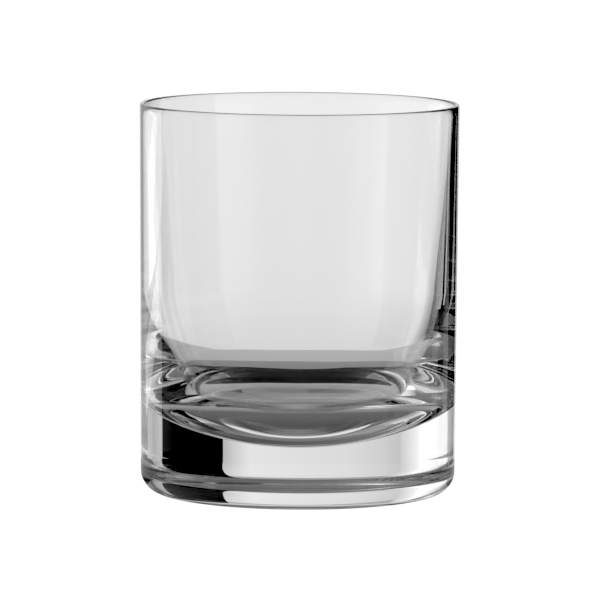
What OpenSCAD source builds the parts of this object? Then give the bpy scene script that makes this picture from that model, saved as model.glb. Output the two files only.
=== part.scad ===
/* Whiskey tumbler: a plain round glass with a thick solid base, turned about the Z axis.
   Millimetres, +Z up, origin at the centre of the standing face. */

/* [Outside] */
// Height from the standing face to the top of the rim
height = 104; // [95:1:115]
// Outside diameter of the wall, at the level of the rim's top
rim_d = 85; // [82:0.5:92]
// Outside diameter of the wall, carried straight down to the standing face
base_d = 83.7; // [80:0.1:85]
// Radius of the rounded corner between the wall and the standing face
foot_corner_r = 6; // [2:0.5:7]

/* [Rim] */
// Thickness of the fully rounded lip
lip_t = 1.2; // [1:0.1:2.4]

/* [Hollow] */
// Thickness of the solid base on the axis
base_t = 13.8; // [12:0.1:18]
// Radius of the dished floor
floor_r = 50; // [45:1:90]
// Radius of the curve between the floor and the shoulder
floor_curve_r = 14; // [12:0.2:20]
// Radius of the shoulder, where the wall thickens towards the base
shoulder_r = 86; // [76:1:110]
// Height of the shoulder's centre
shoulder_z = 59; // [56:0.5:68]
// Radius of the hollow at the height of the shoulder's centre
hollow_r = 38.4; // [37.5:0.1:39]

/* [Hidden] */
$fn = 180;
glass_colour = [0.93, 0.97, 0.96, 0.45];
// How far the hollow's cutting outline runs past the top of the rim and past the floor
cut_past = 5;

rim_r = rim_d / 2;
base_r = base_d / 2;
lip_r = lip_t / 2;

// Outer wall: a straight line that leans outwards by lean_out
lean_out = atan((rim_r - base_r) / height);
function outer_r(z) = base_r + z * tan(lean_out);

// Foot corner: a circle that touches the standing face and the outer wall
corner_x = base_r - foot_corner_r * (1 - sin(lean_out)) / cos(lean_out);
corner_touch = [
  corner_x + foot_corner_r * cos(lean_out),
  foot_corner_r - foot_corner_r * sin(lean_out)
];

// Lip: a circle that touches the outer wall and the top plane
lip_z = height - lip_r;
lip_x = outer_r(lip_z) - lip_r / cos(lean_out);
lip_outer_touch = [lip_x + lip_r * cos(lean_out), lip_z - lip_r * sin(lean_out)];

// Floor and shoulder: two large circles, the floor's centred on the axis
floor_z = base_t + floor_r;
shoulder_x = hollow_r - shoulder_r;

// Floor curve: the small circle that touches both of them from the inside
reach_floor = floor_r - floor_curve_r;
reach_shoulder = shoulder_r - floor_curve_r;
gap_z = shoulder_z - floor_z;
gap = norm([shoulder_x, gap_z]);
along = (reach_floor * reach_floor - reach_shoulder * reach_shoulder + gap * gap) / (2 * gap);
across = sqrt(reach_floor * reach_floor - along * along);
curve_x = (along * shoulder_x - across * gap_z) / gap;
curve_z = floor_z + (along * gap_z + across * shoulder_x) / gap;
floor_turn = atan2(curve_x, floor_z - curve_z);
curve_turn = atan2(curve_x - shoulder_x, shoulder_z - curve_z);
floor_touch = [floor_r * sin(floor_turn), floor_z - floor_r * cos(floor_turn)];
curve_touch = [
  shoulder_x + shoulder_r * sin(curve_turn),
  shoulder_z - shoulder_r * cos(curve_turn)
];

// Inner wall: the line that touches the shoulder on its outside and the lip on its inside
span_x = lip_x - shoulder_x;
span_z = lip_z - shoulder_z;
lean_in = atan2(span_x, span_z) - asin((lip_r + shoulder_r) / norm([span_x, span_z]));
wall_touch = [
  shoulder_x + shoulder_r * cos(lean_in),
  shoulder_z - shoulder_r * sin(lean_in)
];
lip_inner_touch = [lip_x - lip_r * cos(lean_in), lip_z + lip_r * sin(lean_in)];

// Outline of the glass without its hollow, up to the lip's middle
module outer_outline() {
  polygon([
    [0, 0],
    [corner_x, 0],
    corner_touch,
    lip_outer_touch,
    [lip_x, lip_z],
    [0, lip_z]
  ]);
  translate([corner_x, foot_corner_r])
    circle(r = foot_corner_r);
}

// Part of a circle to the right of the axis, between two heights and inside a limit on x
module disc_band(centre, r, low, high, limit) {
  intersection() {
    translate(centre)
      circle(r = r);
    translate([0, low])
      square([limit, high - low]);
  }
}

// Outline of the hollow, open at the top
module hollow_outline() {
  disc_band([0, floor_z], floor_r, base_t - cut_past, floor_touch[1], floor_touch[0]);
  disc_band([curve_x, curve_z], floor_curve_r, base_t - cut_past, curve_touch[1], base_r);
  polygon([
    [0, floor_touch[1]],
    floor_touch,
    curve_touch,
    [0, curve_touch[1]]
  ]);
  disc_band([shoulder_x, shoulder_z], shoulder_r, curve_touch[1], wall_touch[1], base_r);
  polygon([
    [0, wall_touch[1]],
    wall_touch,
    lip_inner_touch,
    [lip_inner_touch[0], height + cut_past],
    [0, height + cut_past]
  ]);
}

module glass_outline() {
  difference() {
    outer_outline();
    hollow_outline();
  }
  translate([lip_x, lip_z])
    circle(r = lip_r);
}

module tumbler() {
  color(glass_colour)
    rotate_extrude()
      glass_outline();
}

tumbler();
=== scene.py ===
"""Whiskey tumbler in clear glass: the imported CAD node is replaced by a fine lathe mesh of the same
profile with a refracting glass material, before a white backdrop under soft studio light.
Lengths are in metres, +Z up, origin at the centre of the standing face. The camera looks along +Y."""

import math

import bpy
from mathutils import Matrix, Vector


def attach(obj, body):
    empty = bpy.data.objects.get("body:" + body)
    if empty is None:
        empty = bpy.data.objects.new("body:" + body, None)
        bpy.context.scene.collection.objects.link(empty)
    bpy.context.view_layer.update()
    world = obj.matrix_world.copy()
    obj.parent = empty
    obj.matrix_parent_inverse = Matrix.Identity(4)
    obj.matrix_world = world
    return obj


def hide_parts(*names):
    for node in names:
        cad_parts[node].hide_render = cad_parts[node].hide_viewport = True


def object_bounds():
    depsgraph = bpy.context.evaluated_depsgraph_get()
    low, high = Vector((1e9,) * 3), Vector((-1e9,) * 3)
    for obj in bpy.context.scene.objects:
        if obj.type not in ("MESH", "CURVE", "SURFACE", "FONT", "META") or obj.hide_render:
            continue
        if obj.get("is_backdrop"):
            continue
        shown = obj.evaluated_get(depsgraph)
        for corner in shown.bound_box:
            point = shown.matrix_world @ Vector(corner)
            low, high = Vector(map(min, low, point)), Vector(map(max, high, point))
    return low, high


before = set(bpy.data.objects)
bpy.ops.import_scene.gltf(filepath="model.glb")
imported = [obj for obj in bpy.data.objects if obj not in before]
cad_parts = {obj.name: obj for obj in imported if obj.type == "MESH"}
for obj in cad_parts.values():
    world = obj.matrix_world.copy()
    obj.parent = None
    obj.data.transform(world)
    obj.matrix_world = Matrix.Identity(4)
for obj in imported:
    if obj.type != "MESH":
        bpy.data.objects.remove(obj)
cad_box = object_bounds()

MM = 0.001

# The glass, in millimetres, as in the CAD source
HEIGHT = 104.0
RIM_R = 42.5
BASE_R = 41.85
CORNER_R = 6.0
LIP_R = 0.6
BASE_T = 13.8
FLOOR_R = 50.0
FLOOR_CURVE_R = 14.0
SHOULDER_R = 86.0
SHOULDER_Z = 59.0
HOLLOW_R = 38.4

# Faint ripples in the curve round the inner floor: their depth and the heights they lie between
RIPPLE = 0.03
RIPPLE_LOW = 13.9
RIPPLE_HIGH = 36.0
# Waves round the glass, waves per millimetre of height, phase, share
RIPPLES = [(5, 0.05, 0.7, 0.5), (9, 0.09, 2.1, 0.3), (14, -0.07, 4.0, 0.2)]

# How finely the profile and the turn are divided
TURN_STEPS = 360
WALL_STEPS = 48
DISC_STEPS = 14
ARC_STEP_DEG = 3.0
DISH_STEP_DEG = 1.5
LIP_STEP_DEG = 12.0

# The glass's material: its faint tint grows with the length of glass that light crosses
GLASS_IOR = 1.52
GLASS_TINT = (0.33, 0.33, 0.33, 1)
GLASS_DENSITY = 1.8

# The camera: distance in metres, angles in degrees, lens and sensor in millimetres, and the point
# it looks at in millimetres
CAM_DISTANCE = 1.7
CAM_ELEVATION = 5.94
CAM_ROLL = 0.34
CAM_LENS = 382.7
CAM_CLIP_START = 0.01
SENSOR = 36.0
AIM = (0.36, 0.0, 51.4)

# The studio. Cards surround the glass on spheres round a point on its axis. Azimuths are in degrees
# from straight behind the glass, + to the right; brightness is 1 for white.
CENTRE_Z = 0.03
TENT_R = 2.6
GLOW_R = 2.55
NEAR_TENT_R = 2.5
SEAMLESS_R = 3.5
CARD_STEP_DEG = 3.0
FLAT_CARD_STEPS = 4
# Name, azimuth from, to, elevation from, to, brightness: low left, low right, high left, high right
TENT = [
    ("wall", -12, 12, -4, 20, 0.86, 0.95, 0.86, 0.95),
    ("wall_middle", -12, 12, -9, -4, 0.82, 0.91, 0.86, 0.95),
    ("wall_foot", -12, 12, -27, -9, 0.76, 0.74, 0.82, 0.91),
    ("wall_low", -12, 12, -40, -27, 0.72, 0.66, 0.76, 0.74),
    ("wall_left", -36, -12, -4, 20, 0.64, 0.86, 0.64, 0.86),
    ("wall_left_middle", -36, -12, -9, -4, 0.60, 0.82, 0.64, 0.86),
    ("wall_left_foot", -36, -12, -27, -9, 0.52, 0.76, 0.60, 0.82),
    ("wall_left_low", -36, -12, -40, -27, 0.45, 0.72, 0.52, 0.76),
    ("wall_far_left", -62, -36, -40, 20, 0.40, 0.50, 0.60, 0.60),
    ("wall_right", 12, 19.4, -9, 20, 0.91, 0.55, 0.95, 0.80),
    ("wall_right_foot", 12, 17.5, -27, -9, 0.74, 0.10, 0.91, 0.57),
    ("wall_right_low", 12, 19.4, -40, -27, 0.66, 0.10, 0.74, 0.10),
    ("wall_top", -36, 19.4, 20, 36, 0.48, 0.48, 0.48, 0.48),
    ("flag", 19.4, 112, -40, 36, 0.0, 0.0, 0.0, 0.0),
    ("flag_foot", 17.5, 19.4, -27, -9, 0.0, 0.0, 0.0, 0.0),
    ("front_right_low", 112, 150, -40, -8, 0.35, 0.35, 0.35, 0.35),
    ("front_right", 112, 150, -8, 36, 0.24, 0.24, 0.24, 0.24),
    ("front", 150, 190, -40, 36, 0.24, 0.24, 0.24, 0.24),
    ("front_left", 190, 230, -40, 36, 0.20, 0.20, 0.20, 0.20),
    ("left_low", 230, 298, -40, -8, 0.04, 0.04, 0.04, 0.04),
    ("left", 230, 298, -8, 36, 0.22, 0.26, 0.22, 0.26),
    ("up_left", 195, 285, 36, 60, 0.34, 0.34, 0.34, 0.34),
    ("up_back", 285, 375, 36, 60, 0.34, 0.10, 0.34, 0.10),
    ("up_right", 15, 75, 36, 60, 0.10, 0.07, 0.10, 0.07),
    ("up_side", 75, 135, 36, 60, 0.07, 0.26, 0.07, 0.26),
    ("up_front", 135, 195, 36, 60, 0.26, 0.34, 0.26, 0.34),
    ("steep", 0, 360, -65, -40, 0.30, 0.30, 0.30, 0.30),
    ("under", 0, 360, -90, -65, 0.12, 0.12, 0.12, 0.12),
]
# The same, for cards that hang in front of the flag
NEAR_TENT = [
    ("edge_line", 33, 36, -16, -8, 0.5, 0.5, 0.5, 0.5),
    ("side_glow", 58, 66, -8, 0, 0.40, 0.40, 0.40, 0.40),
]
# The same, for cards that are seen through the glass but not mirrored in its wall
GLOW = [
    ("glow_left", 245, 298, -40, 0, 0.85, 0.85, 0.85, 0.85),
    ("glow_left_head", 245, 298, 0, 9, 0.85, 0.85, 0.24, 0.26),
    ("glow_left_end", 220, 245, -40, -14, 0.60, 0.85, 0.25, 0.85),
    ("glow_left_end_head", 220, 245, -14, 6, 0.25, 0.85, 0.20, 0.24),
    ("glow_back", 298, 348, -40, -18, 0.85, 0.85, 0.85, 0.85),
    ("glow_back_head", 298, 348, -18, -10, 0.85, 0.85, 0.53, 0.84),
    ("glow_front", 160, 220, -40, -20, 0.60, 0.60, 0.24, 0.20),
    ("glow_right", 112, 136, -40, 10, 0.85, 0.85, 0.75, 0.75),
    ("glow_right_head", 112, 136, 10, 28, 0.75, 0.75, 0.24, 0.24),
    ("glow_right_end", 136, 160, -40, -20, 0.85, 0.60, 0.85, 0.24),
    ("glow_right_end_middle", 136, 154, -20, 10, 0.85, 0.24, 0.75, 0.24),
    ("glow_right_end_head", 136, 154, 10, 28, 0.75, 0.24, 0.24, 0.24),
]
# Name, left foot, right foot, bottom at left and right, top at left and right, brightness at left
# and right
PANELS = [
    ("softbox", (-0.83, 0.41), (-0.26, 0.37), (-0.110, -0.046), (0.12, 0.12), 1.35, 1.25),
    ("softbox_foot", (-0.83, 0.41), (-0.26, 0.37), (-0.14, -0.14), (-0.110, -0.046), 0.75, 0.70),
    ("softbox_head", (-0.83, 0.41), (-0.26, 0.37), (0.12, 0.12), (0.30, 0.30), 0.3, 1.4),
    ("softbox_band", (-0.70, 0.395), (-0.27, 0.365), (-0.035, -0.035), (-0.010, -0.010), 2.4, 2.2),
    ("softbox_edge", (-0.26, 0.37), (-0.18, 0.365), (-0.046, -0.040), (0.30, 0.30), 1.15, 0.75),
    ("softbox_edge_foot", (-0.26, 0.37), (-0.18, 0.365), (-0.14, -0.14), (-0.046, -0.040), 0.65, 0.60),
    ("slit", (0.291, 0.300), (0.301, 0.290), (-0.08, -0.08), (0.25, 0.25), 0.5, 0.5),
    ("slit_edge", (0.301, 0.290), (0.338, 0.246), (-0.08, -0.08), (0.25, 0.25), 0.5, 0.3),
]
# The same, for panels that are mirrored in the wall but not seen through the glass
MIRRORED = [
    ("side_window", (-0.5, -0.075), (-0.5, 0.075), (-0.014, -0.014), (0.12, 0.12), 0.55, 0.55),
]
# Flat rings of painted shadow and caustic light that the glass casts on the table. Name, inner radius,
# outer radius, azimuth from, to, brightness inside, outside
SHADE_AND_CAUSTIC_RINGS = [
    ("ring_middle", 0.0, 0.010, 0, 360, 0.36, 0.14),
    ("ring_under", 0.010, 0.036, 0, 360, 0.10, 0.16),
    ("ring_rim", 0.036, 0.043, 0, 360, 0.20, 0.40),
    ("ring_dark", 0.043, 0.051, -90, 90, 0.0, 0.0),
    ("ring_front", 0.043, 0.051, 90, 270, 0.5, 0.5),
    ("ring_soft", 0.051, 0.061, 0, 360, 0.24, 0.28),
    ("ring_grey", 0.061, 0.0885, 0, 360, 0.47, 0.50),
]
RING_Z = -0.0004
# Brightness of what is seen above the cards
OVERHEAD = 0.22
# Brightness of the backdrop, just past white
WHITE = 1.03
# Light below this shows as black
BLACK = 0.03

# Light paths
GLASS_BOUNCES = 24
MIRROR_BOUNCES = 16
DIFFUSE_BOUNCES = 4


def arc(cx, cz, r, start, end, step):
    """Points on a circle from angle start to end in degrees, both ends included."""
    n = max(2, round(abs(end - start) / step))
    angles = [math.radians(start + (end - start) * i / n) for i in range(n + 1)]
    return [(cx + r * math.cos(a), cz + r * math.sin(a)) for a in angles]


def line(p, q, n):
    """Points between p and q, ends left out."""
    return [(p[0] + (q[0] - p[0]) * i / n, p[1] + (q[1] - p[1]) * i / n) for i in range(1, n)]


def profile():
    """The glass's outline from the middle of the standing face round to the middle of the inner floor."""
    lean_out = math.atan((RIM_R - BASE_R) / HEIGHT)

    def outer_r(z):
        return BASE_R + z * math.tan(lean_out)

    corner_x = BASE_R - CORNER_R * (1 - math.sin(lean_out)) / math.cos(lean_out)
    lip_z = HEIGHT - LIP_R
    lip_x = outer_r(lip_z) - LIP_R / math.cos(lean_out)
    # shoulder, floor and the small curve that touches both
    shoulder_x = HOLLOW_R - SHOULDER_R
    floor_z = BASE_T + FLOOR_R
    reach_f, reach_s = FLOOR_R - FLOOR_CURVE_R, SHOULDER_R - FLOOR_CURVE_R
    gap_x, gap_z = shoulder_x, SHOULDER_Z - floor_z
    gap = math.hypot(gap_x, gap_z)
    along = (reach_f ** 2 - reach_s ** 2 + gap ** 2) / (2 * gap)
    across = math.sqrt(reach_f ** 2 - along ** 2)
    curve_x = (along * gap_x - across * gap_z) / gap
    curve_z = floor_z + (along * gap_z + across * gap_x) / gap
    floor_turn = math.degrees(math.atan2(curve_x, floor_z - curve_z))
    curve_turn = math.degrees(math.atan2(curve_x - shoulder_x, SHOULDER_Z - curve_z))

    span_x, span_z = lip_x - shoulder_x, lip_z - SHOULDER_Z
    lean_in = math.atan2(span_x, span_z) - math.asin((LIP_R + SHOULDER_R) / math.hypot(span_x, span_z))
    out_deg, in_deg = math.degrees(lean_out), math.degrees(lean_in)

    corner = arc(corner_x, CORNER_R, CORNER_R, -90, -out_deg, ARC_STEP_DEG)
    lip = arc(lip_x, lip_z, LIP_R, -out_deg, 180 - in_deg, LIP_STEP_DEG)
    shoulder = arc(shoulder_x, SHOULDER_Z, SHOULDER_R, -in_deg, curve_turn - 90, DISH_STEP_DEG)
    curve = arc(curve_x, curve_z, FLOOR_CURVE_R, curve_turn - 90, floor_turn - 90, ARC_STEP_DEG)
    dish = arc(0, floor_z, FLOOR_R, floor_turn - 90, -90, DISH_STEP_DEG)
    points = [(0.0, 0.0)] + line((0, 0), corner[0], DISC_STEPS) + corner
    points += line(corner[-1], lip[0], WALL_STEPS) + lip
    points += line(lip[-1], shoulder[0], WALL_STEPS) + shoulder + curve[1:]
    points += dish[1:-1] + [(0.0, BASE_T)]
    return points


def ripple(angle, z):
    """How far the inner surface is pushed out and down, at an angle round the glass and a height."""
    if not RIPPLE_LOW < z < RIPPLE_HIGH:
        return 0.0
    fade = math.sin(math.pi * (z - RIPPLE_LOW) / (RIPPLE_HIGH - RIPPLE_LOW)) ** 2
    wave = sum(share * math.cos(n * angle + 2 * math.pi * m * z + phase) for n, m, phase, share in RIPPLES)
    return RIPPLE * fade * wave


def lathe(name, points):
    """A closed mesh turned about Z from a profile that starts and ends on the axis."""
    rings = points[1:-1]
    highest = max(range(len(rings)), key=lambda j: rings[j][1])
    verts = [(0, 0, points[0][1] * MM)]
    for j, (r, z) in enumerate(rings):
        for k in range(TURN_STEPS):
            a = 2 * math.pi * k / TURN_STEPS
            dent = ripple(a, z) if j > highest else 0.0
            verts.append(((r + dent) * math.cos(a) * MM, (r + dent) * math.sin(a) * MM, (z - dent) * MM))
    verts.append((0, 0, points[-1][1] * MM))
    last = len(verts) - 1
    faces = []
    for k in range(TURN_STEPS):
        nk = (k + 1) % TURN_STEPS
        faces.append((0, 1 + nk, 1 + k))
        for j in range(len(rings) - 1):
            a, b = 1 + j * TURN_STEPS, 1 + (j + 1) * TURN_STEPS
            faces.append((a + k, a + nk, b + nk, b + k))
        top = 1 + (len(rings) - 1) * TURN_STEPS
        faces.append((top + k, top + nk, last))
    mesh = bpy.data.meshes.new(name)
    mesh.from_pydata(verts, [], faces)
    mesh.update()
    mesh.shade_smooth()
    obj = bpy.data.objects.new(name, mesh)
    bpy.context.collection.objects.link(obj)
    return obj


def glass_material():
    """Clear glass with a faint tint."""
    mat = bpy.data.materials.new("clear_glass")
    mat.use_nodes = True
    nodes, links = mat.node_tree.nodes, mat.node_tree.links
    nodes.clear()
    out = nodes.new("ShaderNodeOutputMaterial")
    shader = nodes.new("ShaderNodeBsdfPrincipled")
    shader.inputs["Base Color"].default_value = (1, 1, 1, 1)
    shader.inputs["Roughness"].default_value = 0.0
    shader.inputs["IOR"].default_value = GLASS_IOR
    shader.inputs["Transmission Weight"].default_value = 1.0
    links.new(shader.outputs["BSDF"], out.inputs["Surface"])
    tint = nodes.new("ShaderNodeVolumeAbsorption")
    tint.inputs["Color"].default_value = GLASS_TINT
    tint.inputs["Density"].default_value = GLASS_DENSITY
    links.new(tint.outputs["Volume"], out.inputs["Volume"])
    return mat


def make_camera():
    """A long lens, far off and a little above the glass, looking along +Y."""
    data = bpy.data.cameras.new("camera")
    data.lens = CAM_LENS
    data.sensor_width = SENSOR
    data.clip_start = CAM_CLIP_START
    cam = bpy.data.objects.new("camera", data)
    bpy.context.collection.objects.link(cam)
    elevation = math.radians(CAM_ELEVATION)
    back = Vector((0, -math.cos(elevation), math.sin(elevation)))
    cam.location = Vector(AIM) * MM + back * CAM_DISTANCE
    roll = Matrix.Rotation(math.radians(CAM_ROLL), 3, "Z")
    cam.rotation_euler = (back.to_track_quat("Z", "Y").to_matrix() @ roll).to_euler()
    bpy.context.scene.camera = cam


def emission(name):
    """A light whose brightness is painted on the card's points."""
    mat = bpy.data.materials.new(name)
    mat.use_nodes = True
    nodes, links = mat.node_tree.nodes, mat.node_tree.links
    nodes.clear()
    out = nodes.new("ShaderNodeOutputMaterial")
    shader = nodes.new("ShaderNodeEmission")
    paint = nodes.new("ShaderNodeAttribute")
    paint.attribute_name = "value"
    links.new(paint.outputs["Fac"], shader.inputs["Strength"])
    links.new(shader.outputs["Emission"], out.inputs["Surface"])
    return mat


def card(name, place, values, columns, rows, mat):
    """A lit card: place(u, v) gives its points, values its brightness at the corners."""
    low_left, low_right, high_left, high_right = values
    verts, paint, faces = [], [], []
    for j in range(rows + 1):
        v = j / rows
        for i in range(columns + 1):
            u = i / columns
            verts.append(place(u, v))
            low = low_left + (low_right - low_left) * u
            high = high_left + (high_right - high_left) * u
            paint.append(low + (high - low) * v)
    for j in range(rows):
        for i in range(columns):
            a = j * (columns + 1) + i
            faces.append((a, a + 1, a + columns + 2, a + columns + 1))
    mesh = bpy.data.meshes.new(name)
    mesh.from_pydata(verts, [], faces)
    layer = mesh.attributes.new("value", "FLOAT", "POINT")
    layer.data.foreach_set("value", paint)
    mesh.update()
    mesh.materials.append(mat)
    obj = bpy.data.objects.new(name, mesh)
    bpy.context.collection.objects.link(obj)
    obj.visible_camera = False
    obj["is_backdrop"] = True
    return obj


def towards(azimuth, elevation, radius):
    """The point at an azimuth and an elevation, as seen from the studio's centre."""
    a, e = math.radians(azimuth), math.radians(elevation)
    level = radius * math.cos(e)
    return (level * math.sin(a), level * math.cos(a), radius * math.sin(e) + CENTRE_Z)


def tent_card(name, az_from, az_to, el_from, el_to, values, radius, mat):
    """A card bent round the glass as part of a sphere."""
    def place(u, v):
        return towards(az_from + (az_to - az_from) * u, el_from + (el_to - el_from) * v, radius)
    columns = math.ceil((az_to - az_from) / CARD_STEP_DEG)
    rows = math.ceil((el_to - el_from) / CARD_STEP_DEG)
    return card(name, place, values, columns, rows, mat)


def panel(name, left, right, bottom, top, value_left, value_right, mat):
    """A flat upright card; its bottom and top may slope."""
    def place(u, v):
        low = bottom[0] + (bottom[1] - bottom[0]) * u
        high = top[0] + (top[1] - top[0]) * u
        x = left[0] + (right[0] - left[0]) * u
        y = left[1] + (right[1] - left[1]) * u
        return (x, y, low + (high - low) * v)
    values = (value_left, value_right, value_left, value_right)
    return card(name, place, values, FLAT_CARD_STEPS, FLAT_CARD_STEPS, mat)


def ring(name, r_in, r_out, az_from, az_to, inside, outside, mat):
    """A flat ring, or part of one, of painted shade and light on the table round the standing face."""
    def place(u, v):
        r = r_in + (r_out - r_in) * v
        a = math.radians(az_from + (az_to - az_from) * u)
        return (r * math.sin(a), r * math.cos(a), RING_Z)
    columns = math.ceil((az_to - az_from) / CARD_STEP_DEG)
    return card(name, place, (inside, inside, outside, outside), columns, FLAT_CARD_STEPS, mat)


def make_world():
    """An even light above the cards."""
    world = bpy.data.worlds.new("studio")
    bpy.context.scene.world = world
    world.use_nodes = True
    background = world.node_tree.nodes["Background"]
    background.inputs["Color"].default_value = (OVERHEAD, OVERHEAD, OVERHEAD, 1)


def make_cards():
    """All the cards, and the white backdrop round them, which only the camera sees."""
    light = emission("card_light")
    for name, az0, az1, el0, el1, *values in TENT:
        tent_card(name, az0, az1, el0, el1, values, TENT_R, light)
    for name, az0, az1, el0, el1, *values in NEAR_TENT:
        tent_card(name, az0, az1, el0, el1, values, NEAR_TENT_R, light)
    for name, az0, az1, el0, el1, *values in GLOW:
        glow = tent_card(name, az0, az1, el0, el1, values, GLOW_R, light)
        glow.visible_glossy = False
    for row in PANELS:
        panel(*row, light)
    for row in MIRRORED:
        mirrored = panel(*row, light)
        mirrored.visible_transmission = False
    # the rings: painted shadow and caustic light on the table, seen only in and through the glass
    for row in SHADE_AND_CAUSTIC_RINGS:
        ring(*row, light)
    seamless = tent_card("seamless", 0, 360, -90, 90, (WHITE, WHITE, WHITE, WHITE), SEAMLESS_R, light)
    seamless.visible_camera = True
    seamless.visible_diffuse = False
    seamless.visible_glossy = False
    seamless.visible_transmission = False
    seamless.visible_shadow = False


def set_view():
    """Plain colours with a slightly raised black, and light paths long enough for thick glass."""
    scene = bpy.context.scene
    scene.view_settings.view_transform = "Standard"
    scene.view_settings.use_curve_mapping = True
    scene.view_settings.curve_mapping.black_level = (BLACK, BLACK, BLACK)
    scene.view_settings.curve_mapping.update()
    scene.cycles.max_bounces = GLASS_BOUNCES
    scene.cycles.transmission_bounces = GLASS_BOUNCES
    scene.cycles.glossy_bounces = MIRROR_BOUNCES
    scene.cycles.diffuse_bounces = DIFFUSE_BOUNCES
    scene.cycles.caustics_reflective = True
    scene.cycles.caustics_refractive = True
    scene.cycles.use_denoising = True


make_camera()

tumbler = lathe("tumbler_glass", profile())
tumbler.data.materials.append(glass_material())
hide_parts("tumbler")
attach(tumbler, "root")

make_world()
make_cards()
set_view()

[[list(map(float, v)) for v in box] for box in (cad_box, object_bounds())]
